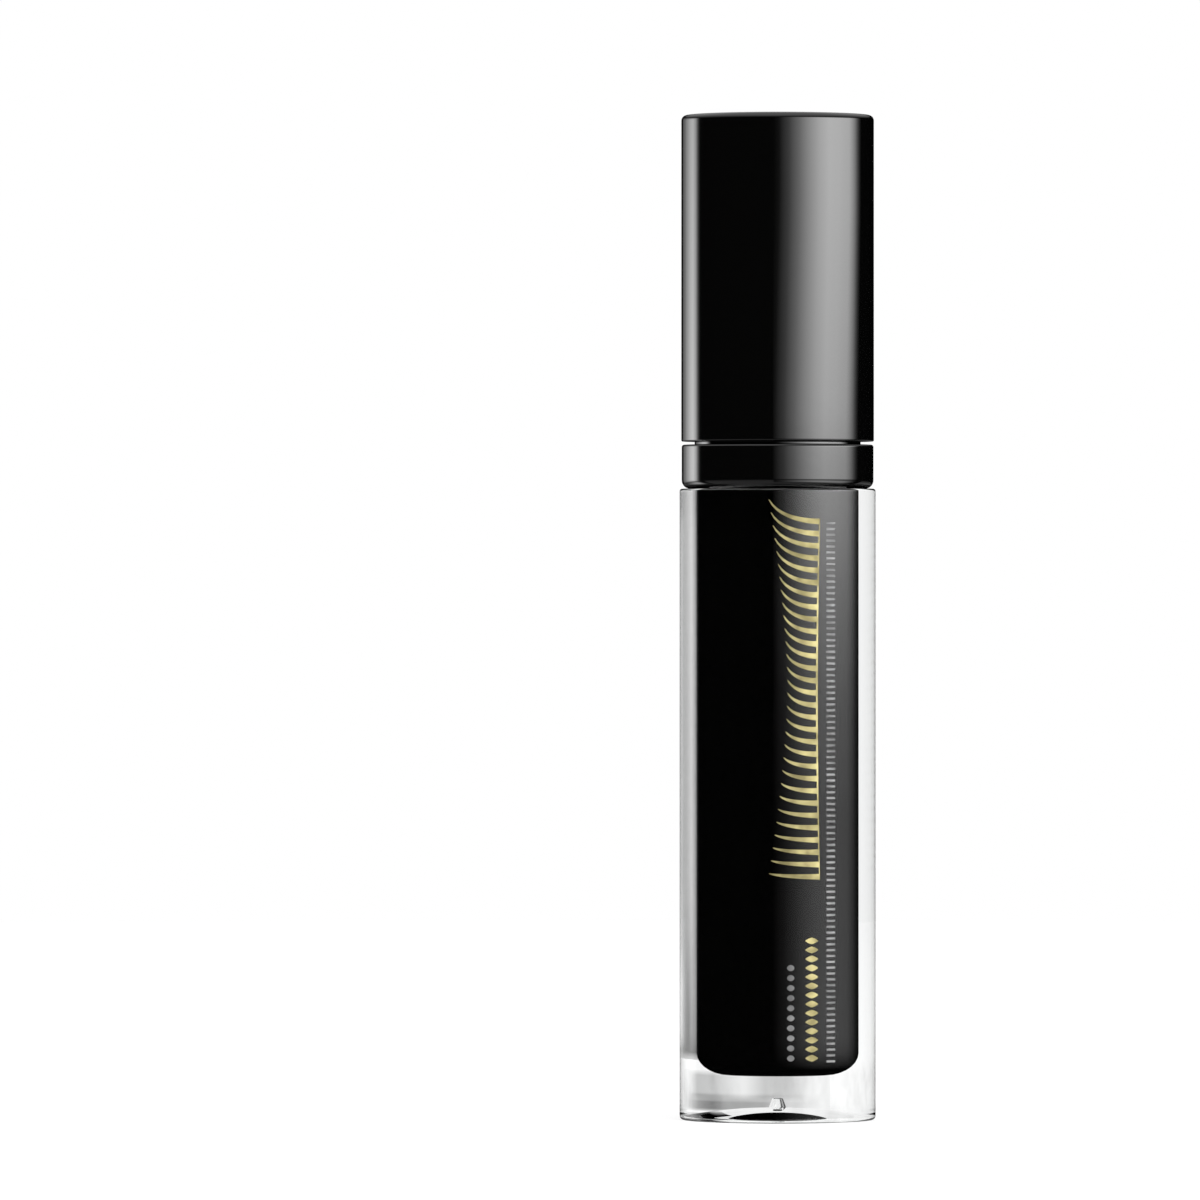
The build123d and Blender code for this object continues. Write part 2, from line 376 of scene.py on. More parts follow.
def satin_black(name, tone, smooth, rough):
    """Moulded satin black with fine texture and worn, slightly polished patches."""
    m = Nodes(name, Base_Color=grey(tone), IOR=PLASTIC_IOR)
    grain = m.noise(4200, 3.0, 0.6)
    worn = m.noise(180, 3.0, 0.55)
    m.paint("Roughness", m.spread(worn, 0.35, 0.75, smooth, rough))
    m.bump(grain, 0.25, RELIEF)
    return m.material


def ink(name, colour, dark, metallic, rough):
    """Metallic print: fine speckle in the ink and small worn pinholes at its thin places."""
    m = Nodes(name, Metallic=metallic, IOR=PLASTIC_IOR)
    speck = m.noise(5200, 2.0, 0.6)
    cloud = m.noise(520, 2.0, 0.5)
    m.paint("Base Color", m.blend_colour(m.spread(cloud, 0.35, 0.7, 0.0, 1.0), dark, colour))
    m.paint("Roughness", m.spread(speck, 0.3, 0.75, rough, rough + 0.16))
    m.bump(speck, 0.35, RELIEF)
    return m.material


def soft_plastic(name, colour, shade, rough):
    """Soft milky polyethylene with a waxy, slightly uneven surface."""
    m = Nodes(name, IOR=PLASTIC_IOR, Subsurface_Weight=0.25, Subsurface_Scale=0.001)
    cloud = m.noise(420, 3.0, 0.5)
    m.paint("Base Color", m.blend_colour(m.spread(cloud, 0.35, 0.7, 0.0, 1.0), colour, shade))
    m.paint("Roughness", m.spread(cloud, 0.3, 0.8, rough, rough + 0.15))
    m.bump(m.noise(2600, 2.0), 0.25, 0.00003)
    return m.material


def turned_steel():
    """Bright turned steel: fine rings of tool marks and a dull oiled film."""
    m = Nodes("turned_steel", Metallic=1.0, IOR=2.5)
    rings = m.noise(5200, 2.0, 0.6, m.stretched(0.1, 0.1, 1.0))
    film = m.noise(240, 2.0, 0.5)
    m.paint("Base Color", m.blend_colour(m.spread(film, 0.3, 0.7, 0, 1), grey(0.55), grey(0.42)))
    m.paint("Roughness", m.spread(rings, 0.3, 0.75, 0.22, 0.42))
    m.bump(rings, 0.4, RELIEF)
    return m.material


def wet_formula():
    """Wet black paste with soft folds."""
    m = Nodes("wet_formula", Base_Color=grey(0.004), IOR=1.45)
    folds = m.noise(520, 3.0, 0.55)
    m.paint("Roughness", m.spread(folds, 0.3, 0.8, 0.12, 0.3))
    m.bump(folds, 0.6, 0.0002)
    return m.material


def fibre_black():
    """Nylon fibre: black, slightly translucent sheen, uneven along its length."""
    m = Nodes("fibre_black", IOR=1.53)
    tone = m.noise(900, 2.0, 0.5)
    m.paint("Base Color", m.blend_colour(m.spread(tone, 0.3, 0.75, 0, 1), grey(0.022), grey(0.06)))
    m.paint("Roughness", m.spread(tone, 0.3, 0.8, 0.38, 0.55))
    return m.material


def dark_wire():
    """Blackened stainless wire with drawn lines."""
    m = Nodes("dark_wire", Metallic=1.0, IOR=2.5)
    drawn = m.noise(3000, 2.0, 0.6)
    m.paint("Base Color", m.blend_colour(m.spread(drawn, 0.3, 0.75, 0, 1), grey(0.03), grey(0.09)))
    m.paint("Roughness", m.spread(drawn, 0.3, 0.8, 0.28, 0.45))
    return m.material


BLACK_GLOSS = gloss_black("black_gloss", 0.05)
COLLAR_GLOSS = gloss_black("collar_gloss", 0.06)
ACRYLIC = clear_acrylic()
VIAL = vial_black()
NECK = neck_black()
ROD = satin_black("rod_satin", 0.012, 0.22, 0.34)
LINER = satin_black("liner_satin", 0.016, 0.3, 0.45)
FIBRE = fibre_black()
WIRE = dark_wire()
WIPER = soft_plastic("wiper_soft", (0.55, 0.55, 0.53, 1), (0.4, 0.4, 0.38, 1), 0.32)
WASHER = soft_plastic("washer_foam", (0.82, 0.82, 0.79, 1), (0.7, 0.7, 0.67, 1), 0.5)
STEEL = turned_steel()
FORMULA = wet_formula()
GOLD = ink("gold_ink", (0.50, 0.44, 0.20, 1), (0.22, 0.19, 0.08, 1), 0.5, 0.42)
SILVER = ink("silver_ink", (0.26, 0.26, 0.26, 1), (0.12, 0.12, 0.12, 1), 0.3, 0.45)


# ------------------------------------------------------------------ camera
# A long level lens, 1.46 m away, just above half the tube's height and a little to its left.
CAMERA_FAR = 1460.0
VIEW_WIDTH = 144.6
CAMERA_LEFT = 21.4
CAMERA_HEIGHT = 62.6
SENSOR = 36.0

camera_data = bpy.data.cameras.new("camera")
camera_data.sensor_width = SENSOR
camera_data.lens = SENSOR * CAMERA_FAR / VIEW_WIDTH
camera_data.clip_start = 0.05
camera_data.clip_end = 20
camera = bpy.data.objects.new("camera", camera_data)
camera.location = (-CAMERA_LEFT * MM, -CAMERA_FAR * MM, CAMERA_HEIGHT * MM)
camera.rotation_euler = (pi / 2, 0, 0)
bpy.context.scene.collection.objects.link(camera)
bpy.context.scene.camera = camera


# ------------------------------------------------------------------ bottle body
# WETTED is how far the clear bottle's bore reaches into the vial's wall.
DOME_R = 8.9
DOME_HIGH = 1.65
GATE_R = 0.7
GATE_HIGH = 1.1
WETTED = 0.03


def make_bottle():
    """The clear bottle. Its bore lies just inside the vial's wall, so no air shows between them.
    Its underside is a dome, with the dimple of the moulding gate at the crown."""
    bore = VIAL_R - WETTED
    floor = VIAL_BOTTOM + WETTED
    gate_top = DOME_HIGH + GATE_HIGH
    ball = (DOME_R**2 + DOME_HIGH**2) / (2 * DOME_HIGH)
    steps = 24
    dome = []
    for k in range(steps + 1):
        r = GATE_R + (DOME_R - GATE_R) * k / steps
        dome.append((r, sqrt(ball**2 - r**2) - ball + DOME_HIGH, 0))
    outline = rounded([
        (0, gate_top, 0),
        (GATE_R * 0.6, gate_top, 0.1),
        *dome,
        (BOTTLE_R, 0, 0.5),
        (BOTTLE_R, BOTTLE_TOP, 0.3),
        (bore, BOTTLE_TOP, 0.1),
        (bore, floor, VIAL_FOOT),
        (0, floor, 0),
    ])
    made = piece("bottle_clear", lathe(outline, 240), ACRYLIC, "bottle")
    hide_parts("outer_bottle")


THREAD_FADE = 30


def thread_ridge(root, depth, start, pitch, turns, width):
    """A helical ridge on a root radius, whose height fades in and out over THREAD_FADE degrees."""
    verts, faces = [], []
    steps = int(turns * 96)
    profile = [(-0.5, -0.1), (-0.32, 0.75), (-0.2, 1.0), (0.2, 1.0), (0.32, 0.75), (0.5, -0.1)]
    for i in range(steps + 1):
        turn = 360 * turns * i / steps
        share = min(1, turn / THREAD_FADE, (360 * turns - turn) / THREAD_FADE)
        grown = depth * (share * share * (3 - 2 * share)) ** 0.5
        angle = radians(turn)
        for along, out in profile:
            r = root + (grown * out if out > 0 else -0.1)
            z = start + pitch * turn / 360 + along * width * (0.35 + 0.65 * share)
            verts.append((r * cos(angle), r * sin(angle), z))
    sides = len(profile)
    for i in range(steps):
        for k in range(sides):
            n = (k + 1) % sides
            a = i * sides
            faces.append([a + k, a + n, a + sides + n, a + sides + k])
    faces.append(list(range(sides))[::-1])
    faces.append(list(range(len(verts) - sides, len(verts))))
    return verts, faces


def make_vial():
    """The black vial: its body, flange, and the neck with the screw thread."""
    inner = VIAL_R - VIAL_WALL
    neck_foot = FLANGE_TOP - 0.1
    body_outline = rounded([
        (0, VIAL_BOTTOM, 0),
        (VIAL_R, VIAL_BOTTOM, VIAL_FOOT),
        (VIAL_R, COLLAR_BOTTOM, 0),
        (FLANGE_R, COLLAR_BOTTOM, 0.15),
        (FLANGE_R, FLANGE_TOP, 0.15),
        (inner, FLANGE_TOP, 0),
        (inner, VIAL_BOTTOM + VIAL_FLOOR, VIAL_FOOT - VIAL_WALL),
        (0, VIAL_BOTTOM + VIAL_FLOOR, 0),
    ])
    made = piece("vial_body", lathe(body_outline, 200), VIAL, "bottle")
    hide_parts("inner_vial")
    neck_outline = rounded([
        (LAND_R, neck_foot, 0),
        (LAND_R, LAND_TOP, 0.2),
        (NECK_R, LAND_TOP, 0.1),
        (NECK_R, NECK_TOP, 0.25),
        (NECK_BORE, NECK_TOP, 0.12),
        (NECK_BORE, BORE_CONE_TOP, 0),
        (inner, BORE_CONE_BOTTOM, 0),
        (inner, neck_foot, 0),
    ])
    ridge = thread_ridge(NECK_R, depth=0.58, start=84.8, pitch=2.5, turns=1.25, width=1.15)
    made = piece("vial_neck", merged(lathe(neck_outline, 160), ridge), NECK, "bottle")
    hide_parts("inner_vial")


def make_collar():
    """The glossy collar ring with its low boss."""
    outline = rounded([
        (FLANGE_R + FIT_GAP, COLLAR_BOTTOM, 0),
        (COLLAR_R, COLLAR_BOTTOM, 1.0),
        (COLLAR_R, COLLAR_TOP, 0.28),
        (BOSS_R, COLLAR_TOP, 0.05),
        (BOSS_R, BOSS_TOP, 0.2),
        (LAND_R + FIT_GAP, BOSS_TOP, 0.15),
        (LAND_R + FIT_GAP, FLANGE_TOP + FIT_GAP, 0),
        (FLANGE_R + FIT_GAP, FLANGE_TOP + FIT_GAP, 0),
    ])
    made = piece("collar_gloss_ring", lathe(outline, 240), COLLAR_GLOSS, "bottle")
    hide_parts("collar_ring")


def make_cap():
    """The glossy cap: a plain cup with a softened top edge and a fine rim."""
    bore = CAP_R - CAP_WALL
    roof = CAP_TOP - CAP_ROOF
    outline = rounded([
        (0, CAP_TOP, 0),
        (CAP_R, CAP_TOP, 0.65),
        (CAP_R, CAP_RIM, 0.15),
        (bore, CAP_RIM, 0.3),
        (bore, roof, 0.3),
        (0, roof, 0),
    ])
    made = piece("cap_gloss_shell", lathe(outline, 240), BLACK_GLOSS, "applicator")
    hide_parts("cap_shell")


# ------------------------------------------------------------------ applicator
def make_rod():
    """The moulded rod with its rounded tip."""
    outline = rounded([
        (0, ROD_TIP, 0),
        (ROD_R, ROD_TIP, 0.55),
        (ROD_R, ROD_TOP, 0.4),
        (0, ROD_TOP, 0),
    ])
    made = piece("rod_shaft", lathe(outline, 72), ROD, "applicator")
    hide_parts("wand_rod")


WIRE_R = 0.3
STRAND_R = 0.33
TWIST_PITCH = 5.6
WIRE_PEEK = 0.4
WIRE_BEND = BRUSH_TIP - WIRE_PEEK + WIRE_R + STRAND_R
WIRE_TOP = ROD_TIP + 2.0
WIRE_STEPS = 150
BEND_STEPS = 12
NOSE_R = 0.8
NOSE_LENGTH = 7.0
TAPER = 0.32
BRUSH_SEED = 7
BRUSH_MARGIN = 0.15
FIBRES = 1500
FIBRE_R = 0.05
FIBRE_THINNING = 0.45
FIBRE_TRIM = (0.86, 1.07)
FIBRE_STEPS = 3
SPLAY = 40
CLAMP_PLAY = 0.12
DROOP = 0.13
DROOP_LIMIT = 0.4
CURL = 0.05


def wire_angle(height):
    """Where round the axis the first strand of the twisted wire is at a height."""
    return 2 * pi * (height - WIRE_BEND) / TWIST_PITCH


def make_wire():
    """One wire bent double at the tip and twisted, up into the rod."""
    path = []
    for i in range(WIRE_STEPS + 1):
        z = WIRE_TOP + (WIRE_BEND - WIRE_TOP) * i / WIRE_STEPS
        angle = wire_angle(z)
        path.append(Vector((STRAND_R * cos(angle), STRAND_R * sin(angle), z)))
    for i in range(1, BEND_STEPS):
        turn = pi * i / BEND_STEPS
        path.append(Vector((STRAND_R * cos(turn), 0, WIRE_BEND - STRAND_R * sin(turn))))
    for i in range(WIRE_STEPS + 1):
        z = WIRE_BEND + (WIRE_TOP - WIRE_BEND) * i / WIRE_STEPS
        angle = wire_angle(z) + pi
        path.append(Vector((STRAND_R * cos(angle), STRAND_R * sin(angle), z)))
    made = piece("wire_twist", tube(path, [WIRE_R] * len(path), 10), WIRE, "applicator")
    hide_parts("brush_wire")


def brush_radius(height):
    """Half width of the brush: widest at the rod, a slight taper, and a rounded nose."""
    along = (height - BRUSH_TIP) / (BRUSH_TOP - BRUSH_TIP)
    barrel = BRUSH_R - TAPER * (1 - along)
    into_nose = max(0, 1 - (height - BRUSH_TIP) / NOSE_LENGTH)
    return NOSE_R + (barrel - NOSE_R) * sqrt(1 - into_nose**2)


def make_fibres():
    """Fibres clamped between the wire's strands, which the twist splays in a double helix."""
    dice = random.Random(BRUSH_SEED)
    length_used = BRUSH_TOP - BRUSH_TIP - 2 * BRUSH_MARGIN
    shapes = []
    for i in range(FIBRES):
        z = BRUSH_TIP + BRUSH_MARGIN + length_used * (i + dice.random()) / FIBRES
        angle = wire_angle(z) + pi / 2 + radians(dice.gauss(0, SPLAY))
        side = dice.uniform(-CLAMP_PLAY, CLAMP_PLAY)
        outward = Vector((cos(angle), sin(angle), 0))
        across = Vector((-sin(angle), cos(angle), 0))
        reaches = [brush_radius(z) * dice.uniform(*FIBRE_TRIM) for _ in range(2)]
        tilts = [dice.gauss(0, DROOP) for _ in range(2)]
        curl = dice.gauss(0, CURL)
        points, radii = [], []
        for k in range(-FIBRE_STEPS, FIBRE_STEPS + 1):
            share = abs(k) / FIBRE_STEPS
            end = int(k >= 0)
            length = reaches[end] * share
            bend = curl * length * share
            rise = max(-DROOP_LIMIT, min(DROOP_LIMIT, tilts[end] * length * share))
            sign = -1 if k < 0 else 1
            point = outward * length * sign + across * (side + bend)
            points.append(point + Vector((0, 0, z + rise)))
            radii.append(FIBRE_R * (1 - FIBRE_THINNING * share**3))
        shapes.append(tube(points, radii, 5))
    made = piece("brush_fibres", merged(*shapes), FIBRE, "applicator", SOFT_EDGE)
    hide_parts("brush_bristles")


# ------------------------------------------------------------------ decoration
# Printed ink on the bottle's face: a fan of lash strokes and three fine rows, with no lettering.
# u is the distance round the bottle to the right of its front, v is the height.
PRINT_LIFT = 0.012
PRINT_THICK = 0.010
LID_U = 5.0
LID_BOTTOM = 29.5
LID_TOP = 72.0
LID_OVERRUN = 0.4
LID_BOW = 0.35
LID_STEPS = 40
LASHES = 30
LASH_STEPS = 8
LASH_BEND = 1.25
ROWS_FOOT = 7.8
LOZENGES = 14
LOZENGE_U = 4.0
LOZENGE_PITCH = 1.08
LOZENGE_WIDTHS = [0.08, 0.56, 0.82, 0.56, 0.08]
DOTS = 10
DOT_U = 1.4
DOT_PITCH = 1.2
DOT_WIDTHS = [0.1, 0.5, 0.68, 0.74, 0.68, 0.5, 0.1]
TICKS = 93
TICK_U = 5.95
TICK_FOOT = 7.4
TICK_PITCH = 0.7
TICK_WIDTHS = [0.26] * 5


def ribbon(spine, widths):
    """A thin closed strip of ink wrapped on the bottle. Spine points are (u, v)."""
    verts, faces = [], []
    count = len(spine)
    for i, (u, v) in enumerate(spine):
        before, after = spine[max(i - 1, 0)], spine[min(i + 1, count - 1)]
        du, dv = after[0] - before[0], after[1] - before[1]
        size = sqrt(du * du + dv * dv) or 1
        for lift in (PRINT_LIFT, PRINT_LIFT + PRINT_THICK):
            for side in (-0.5, 0.5):
                pu = u - dv / size * widths[i] * side
                pv = v + du / size * widths[i] * side
                r = BOTTLE_R + lift
                verts.append((r * sin(pu / BOTTLE_R), -r * cos(pu / BOTTLE_R), pv))
    for i in range(count - 1):
        a, b = 4 * i, 4 * i + 4
        faces.append([a, a + 1, b + 1, b])
        faces.append([a + 2, b + 2, b + 3, a + 3])
        faces.append([a, b, b + 2, a + 2])
        faces.append([a + 1, a + 3, b + 3, b + 1])
    faces.append([0, 2, 3, 1])
    end = 4 * (count - 1)
    faces.append([end, end + 1, end + 3, end + 2])
    return verts, faces


def lash_stroke(foot_u, foot_v, length, curl):
    """One tapering lash that leaves the lid line and curls upward."""
    spine, widths = [], []
    for k in range(LASH_STEPS + 1):
        s = k / LASH_STEPS
        u = foot_u - length * sin(s * LASH_BEND) / sin(LASH_BEND)
        spine.append((u, foot_v + curl * s * s))
        widths.append(0.62 * (1 - s) ** 0.8 + 0.07)
    return ribbon(spine, widths)


def make_print():
    """The fan of lashes on its lid line, then the rows of lozenges, dots and ticks."""
    strokes = []
    for i in range(LASHES):
        s = i / (LASHES - 1)
        length = 3.6 + 2.6 * abs(2 * s - 1) ** 1.6
        curl = 0.4 + 2.2 * s
        foot_v = LID_BOTTOM + (LID_TOP - LID_BOTTOM) * s
        strokes.append(lash_stroke(LID_U - LID_BOW * sin(pi * s), foot_v, length, curl))
    lid, widths = [], []
    lid_length = LID_TOP - LID_BOTTOM + 2 * LID_OVERRUN
    for i in range(LID_STEPS + 1):
        arch = sin(pi * i / LID_STEPS)
        lid.append((LID_U - LID_BOW * arch, LID_BOTTOM - LID_OVERRUN + lid_length * i / LID_STEPS))
        widths.append(0.08 + 0.16 * arch)
    strokes.append(ribbon(lid, widths))
    piece("print_lashes", merged(*strokes), GOLD, "bottle", SOFT_EDGE)

    lozenges = []
    for i in range(LOZENGES):
        v = ROWS_FOOT + LOZENGE_PITCH * i
        spine = [(LOZENGE_U - 0.8 + 0.4 * k, v) for k in range(len(LOZENGE_WIDTHS))]
        lozenges.append(ribbon(spine, LOZENGE_WIDTHS))
    piece("print_lozenges", merged(*lozenges), GOLD, "bottle", SOFT_EDGE)

    dots = []
    for i in range(DOTS):
        v = ROWS_FOOT + DOT_PITCH * i
        spine = [(DOT_U - 0.45 + 0.15 * k, v) for k in range(len(DOT_WIDTHS))]
        dots.append(ribbon(spine, DOT_WIDTHS))
    piece("print_dots", merged(*dots), SILVER, "bottle", SOFT_EDGE)

    ticks = []
    for i in range(TICKS):
        v = TICK_FOOT + TICK_PITCH * i
        spine = [(TICK_U + 0.3 * k, v) for k in range(len(TICK_WIDTHS))]
        ticks.append(ribbon(spine, TICK_WIDTHS))
    piece("print_ticks", merged(*ticks), SILVER, "bottle", SOFT_EDGE)


# ------------------------------------------------------------------ stage and light
SCREEN_COLUMNS = 72


def glow_material(name):
    """A white light-giving surface whose strength is the mesh's own glow attribute."""
    material = bpy.data.materials.new(name)
    material.use_nodes = True
    tree = material.node_tree
    tree.nodes.clear()
    glow = tree.nodes.new("ShaderNodeAttribute")
    glow.attribute_name = "glow"
    light = tree.nodes.new("ShaderNodeEmission")
    light.inputs["Color"].default_value = WHITE
    out = tree.nodes.new("ShaderNodeOutputMaterial")
    tree.links.new(glow.outputs["Fac"], light.inputs["Strength"])
    tree.links.new(light.outputs["Emission"], out.inputs["Surface"])
    return material


def between(x, table):
    """A value read off a short curve of (place, value) points, straight between them."""
    if x <= table[0][0]:
        return table[0][1]
    for (x0, y0), (x1, y1) in zip(table, table[1:]):
        if x <= x1:
            return y0 + (y1 - y0) * (x - x0) / (x1 - x0)
    return table[-1][1]


def light_screen(name, radius, azimuths, heights, rows, glow_at, seen_by):
    """A curved studio screen about the tube, seen by one kind of ray only. Azimuth 0 is towards
    the camera and 90 is the right."""
    first, last = azimuths
    bottom, top = heights
    verts, glow, faces = [], [], []
    for i in range(SCREEN_COLUMNS + 1):
        azimuth = first + (last - first) * i / SCREEN_COLUMNS
        for k in range(rows + 1):
            height = bottom + (top - bottom) * k / rows
            turn = radians(azimuth)
            verts.append((radius * sin(turn) * MM, -radius * cos(turn) * MM, height * MM))
            glow.append(glow_at(azimuth, height))
    for i in range(SCREEN_COLUMNS):
        for k in range(rows):
            a = i * (rows + 1) + k
            faces.append([a, a + 1, a + rows + 2, a + rows + 1])
    mesh = bpy.data.meshes.new(name)
    mesh.from_pydata(verts, [], faces)
    mesh.attributes.new("glow", "FLOAT", "POINT").data.foreach_set("value", glow)
    mesh.materials.append(glow_material(name))
    made = bpy.data.objects.new(name, mesh)
    bpy.context.scene.collection.objects.link(made)
    made.visible_camera = False
    made.visible_shadow = False
    for kind in ("diffuse", "glossy", "transmission", "volume_scatter"):
        setattr(made, "visible_" + kind, kind == seen_by)


# Light tables for between(). ACROSS tables go round the tube by azimuth in degrees, UP tables and
# the others go by height in millimetres. A key or strip glows by its power times its share across
# times its share up. KEY_SLANT turns the key's lower part some degrees towards the camera.
KEY_POWER = 8.8
KEY_ACROSS = [
    (-6, 0.0), (1, 0.012), (12.5, 0.12), (24.5, 0.36), (37, 0.72), (50, 1.06), (63, 1.24),
    (77.5, 1.11), (94, 0.84), (103, 0.40), (109, 0.12), (113, 0.03), (117, 0.0),
]
KEY_UP = [
    (-330, 0.0), (-230, 0.3), (-120, 0.4), (-45, 0.3), (-22, 0.1), (-14.5, 0.0), (-12.5, 0.0),
    (-9, 0.145), (28, 0.145), (46, 0.215), (62, 0.35), (79, 0.56), (86, 0.64), (92, 0.80),
    (112, 0.88), (136, 0.95), (160, 1.0), (190, 0.6), (230, 0.0),
]
KEY_SLANT = [(92, 6.0), (126, 0.0)]
STRIP_POWER = 5.0
STRIP_ACROSS = [
    (-158, 0.03), (-146, 0.13), (-136, 0.38), (-128, 0.72), (-122, 0.95), (-116, 0.72),
    (-112, 0.24), (-109, 0.04), (-106, 0.0),
]
STRIP_UP = [
    (-330, 0.0), (-230, 0.5), (-120, 0.6), (-30, 0.225), (-12, 0.3), (-2, 0.45), (8, 0.8),
    (16, 1.0), (85, 1.18), (112, 1.05), (136, 0.95), (190, 0.6), (230, 0.0),
]
# The grey card's tables paint light and shade that only the clear plastic shows: dark bands, a
# darker band just under the collar's height, and patches glowing brighter than the white stage.
LIGHT_SHADE_CARD_ACROSS = [
    (94, 1.0), (102, 0.86), (107, 0.6), (112, 0.36), (117, 0.17), (122, 0.05), (127, 0.0),
    (132, 0.08), (137, 0.1), (143, 0.0), (150, 0.0), (158, 1.0),
]
LIGHT_SHADE_CARD_UP = [
    (1.0, 0.7), (3.5, 1.9), (9, 2.1), (16, 1.35), (25, 1.05), (60, 1.0), (70, 1.0), (73, 0.85),
    (75, 0.35), (77, 0.3), (79, 0.6), (95, 0.5), (150, 0.0),
]
LIGHT_SHADE_CARD_FOOT = [(-0.6, 1.0), (0.8, 0.0)]
# Painted floor shadows for the low card, seen only through the clear base: a grey band with a
# darker band at the floor below it.
SHADOW_FOLD_ACROSS = [
    (145, 0.0), (157, 1.0), (166, 0.95), (171, 0.55), (174.5, 0.2), (176.3, 0.6), (177.5, 0.95),
    (179.5, 0.75), (182, 0.5), (184, 0.0),
]
SHADOW_FOLD_UP = [(1.4, 0.0), (2.0, 0.42), (4.4, 0.42), (5.0, 0.0)]
SHADOW_FOOT_ACROSS = [
    (140, 0.0), (150, 0.5), (159, 0.85), (166, 1.0), (171, 0.75), (175, 0.75), (177.5, 0.7),
    (179, 0.45), (182, 0.25), (186, 0.0),
]
SHADOW_FOOT_UP = [(0.0, 0.0), (0.3, 0.8), (1.2, 0.8), (2.3, 0.0)]


def key_glow(azimuth, height):
    """The big soft key on the right, fading to the front."""
    across = between(azimuth + between(height, KEY_SLANT), KEY_ACROSS)
    return KEY_POWER * across * between(height, KEY_UP)


def strip_glow(azimuth, height):
    """The narrow strip on the left."""
    return STRIP_POWER * between(azimuth, STRIP_ACROSS) * between(height, STRIP_UP)


def light_and_shade_card_glow(azimuth, height):
    """The grey card: painted light and shade seen only through the clear plastic, fading into the
    white floor at its lowest edge.
    """
    shade = between(azimuth, LIGHT_SHADE_CARD_ACROSS) * between(height, LIGHT_SHADE_CARD_UP)
    return shade + (1 - shade) * between(height, LIGHT_SHADE_CARD_FOOT)


def low_shadow_card_glow(azimuth, height):
    """The low card behind the tube: painted floor shadows seen only through the clear base, a grey
    band over a darker band at the floor.
    """
    shadow_fold = between(azimuth, SHADOW_FOLD_ACROSS) * between(height, SHADOW_FOLD_UP)
    shadow_foot = between(azimuth, SHADOW_FOOT_ACROSS) * between(height, SHADOW_FOOT_UP)
    return max(0, 1 - shadow_fold - shadow_foot)


def make_screens():
    """Two screens that only reflections see, and two cards of painted light and shade seen only
    through the clear plastic.
    """
    light_screen("key_screen", 500, (-6, 121), (-330, 240), 228, key_glow, "glossy")
    light_screen("strip_screen", 500, (-158, -100), (-330, 240), 228, strip_glow, "glossy")
    # The grey card paints light and shade that only the clear plastic shows.
    light_screen("light_and_shade_card", 190, (86, 158), (-1, 180), 180, light_and_shade_card_glow, "transmission")
    # The low card paints floor shadows that only the clear base shows.
    light_screen("low_shadow_card", 27, (138, 188), (0, 5.0), 25, low_shadow_card_glow, "transmission")


STAGE_FLAT = 1900
STAGE_CURVE = 900
FLOOR_REACH = 1.0
FLOOR_GLOW = 0.76
LIGHT_AIM = (0, 0, 60)


def make_stage():
    """A white floor that rises all round into a white dome, seen but not mirrored."""
    full = STAGE_FLAT + STAGE_CURVE
    outline = [(0, 0), (400, 0), (900, 0), (STAGE_FLAT, 0)]
    for a in range(10, 91, 10):
        out, up = sin(radians(a)), cos(radians(a))
        outline.append((STAGE_FLAT + STAGE_CURVE * out, STAGE_CURVE - STAGE_CURVE * up))
    for a in range(10, 90, 10):
        out, up = cos(radians(a)), sin(radians(a))
        outline.append((full * out, STAGE_CURVE + STAGE_FLAT * up))
    outline.append((0, full))
    verts, faces = lathe(outline, 96)
    mesh = bpy.data.meshes.new("white_stage")
    mesh.from_pydata([tuple(c * MM for c in v) for v in verts], [], faces)
    mesh.validate()
    mesh.polygons.foreach_set("use_smooth", [True] * len(mesh.polygons))
    floor = bpy.data.materials.new("stage_floor")
    floor.use_nodes = True
    shader = floor.node_tree.nodes["Principled BSDF"]
    shader.inputs["Base Color"].default_value = grey(0.25)
    shader.inputs["Roughness"].default_value = 0.9
    shader.inputs["Specular IOR Level"].default_value = 0.0
    shader.inputs["Emission Color"].default_value = WHITE
    shader.inputs["Emission Strength"].default_value = FLOOR_GLOW
    mesh.materials.append(floor)
    wall = bpy.data.materials.new("stage_wall")
    wall.use_nodes = True
    wall.node_tree.nodes.clear()
    shine = wall.node_tree.nodes.new("ShaderNodeEmission")
    out = wall.node_tree.nodes.new("ShaderNodeOutputMaterial")
    wall.node_tree.links.new(shine.outputs["Emission"], out.inputs["Surface"])
    mesh.materials.append(wall)
    for polygon in mesh.polygons:
        polygon.material_index = int(polygon.center.length > FLOOR_REACH)
    made = bpy.data.objects.new("white_stage", mesh)
    bpy.context.scene.collection.objects.link(made)
    made.visible_glossy = False


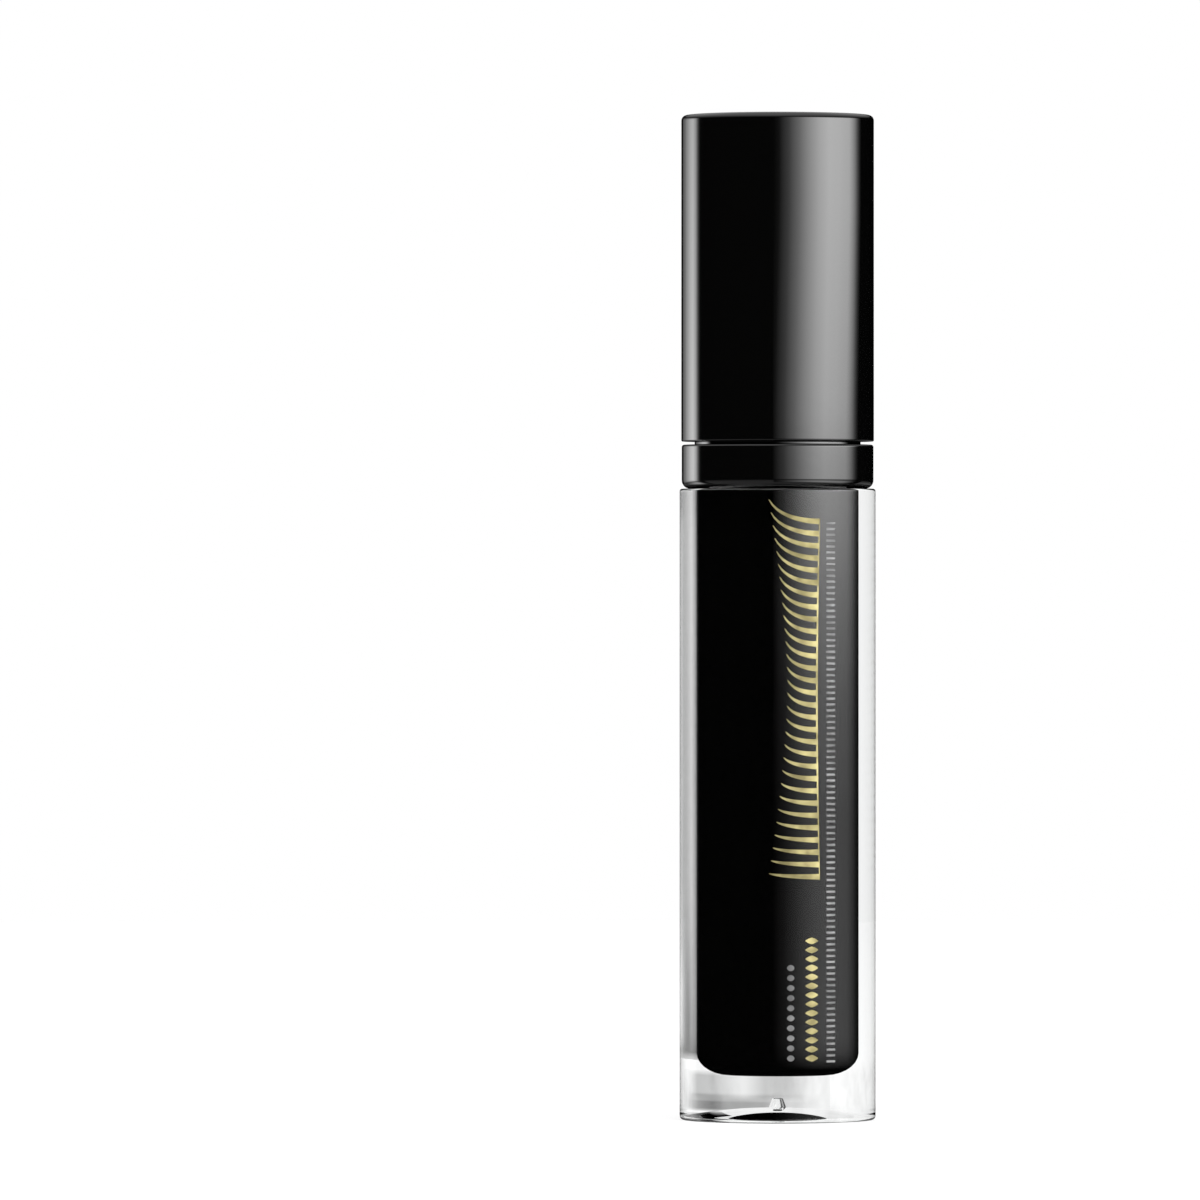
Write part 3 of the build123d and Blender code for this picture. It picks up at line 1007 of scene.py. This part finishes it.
def area_light(name, place, size, power):
    """A round soft light aimed at the tube's middle, itself unseen."""
    data = bpy.data.lights.new(name, "AREA")
    data.shape = "DISK"
    data.size = size * MM
    data.energy = power
    made = bpy.data.objects.new(name, data)
    made.location = [c * MM for c in place]
    aim = Vector(LIGHT_AIM) - Vector(place)
    made.rotation_euler = aim.to_track_quat("-Z", "Y").to_euler()
    made.visible_camera = False
    made.visible_glossy = False
    made.visible_transmission = False
    bpy.context.scene.collection.objects.link(made)


def make_world():
    """Softly lit overhead, dark at the horizon, and grey below it like a pale floor. Only
    reflections see it, because the stage hides it from every other kind of ray."""
    world = bpy.data.worlds.new("studio")
    bpy.context.scene.world = world
    world.use_nodes = True
    tree = world.node_tree
    place = tree.nodes.new("ShaderNodeTexCoord")
    parts = tree.nodes.new("ShaderNodeSeparateXYZ")
    tree.links.new(place.outputs["Generated"], parts.inputs["Vector"])
    glows = []
    for start, end, glow in ((0.22, 0.75, 1.6), (-0.1, -0.35, 0.4)):
        ramp = tree.nodes.new("ShaderNodeMapRange")
        ramp.inputs["From Min"].default_value = start
        ramp.inputs["From Max"].default_value = end
        ramp.inputs["To Max"].default_value = glow
        tree.links.new(parts.outputs["Z"], ramp.inputs["Value"])
        glows.append(ramp.outputs["Result"])
    both = tree.nodes.new("ShaderNodeMath")
    tree.links.new(glows[0], both.inputs[0])
    tree.links.new(glows[1], both.inputs[1])
    tree.links.new(both.outputs["Value"], tree.nodes["Background"].inputs["Strength"])
    tree.nodes["Background"].inputs["Color"].default_value = WHITE


make_bottle()
make_vial()
make_collar()
make_cap()
make_rod()
make_wire()
make_fibres()
make_print()
dress("wiper", WIPER)
dress("mascara_formula", FORMULA)
dress("inner_cap", LINER)
dress("seal_washer", WASHER)
dress("cap_weight", STEEL)
make_stage()
make_screens()
make_world()
area_light("top_soft", (300, -500, 900), 700, 5)
area_light("left_soft", (-700, -300, 450), 500, 2)
bpy.context.scene.view_settings.view_transform = "Standard"
bpy.context.scene.view_settings.look = "None"
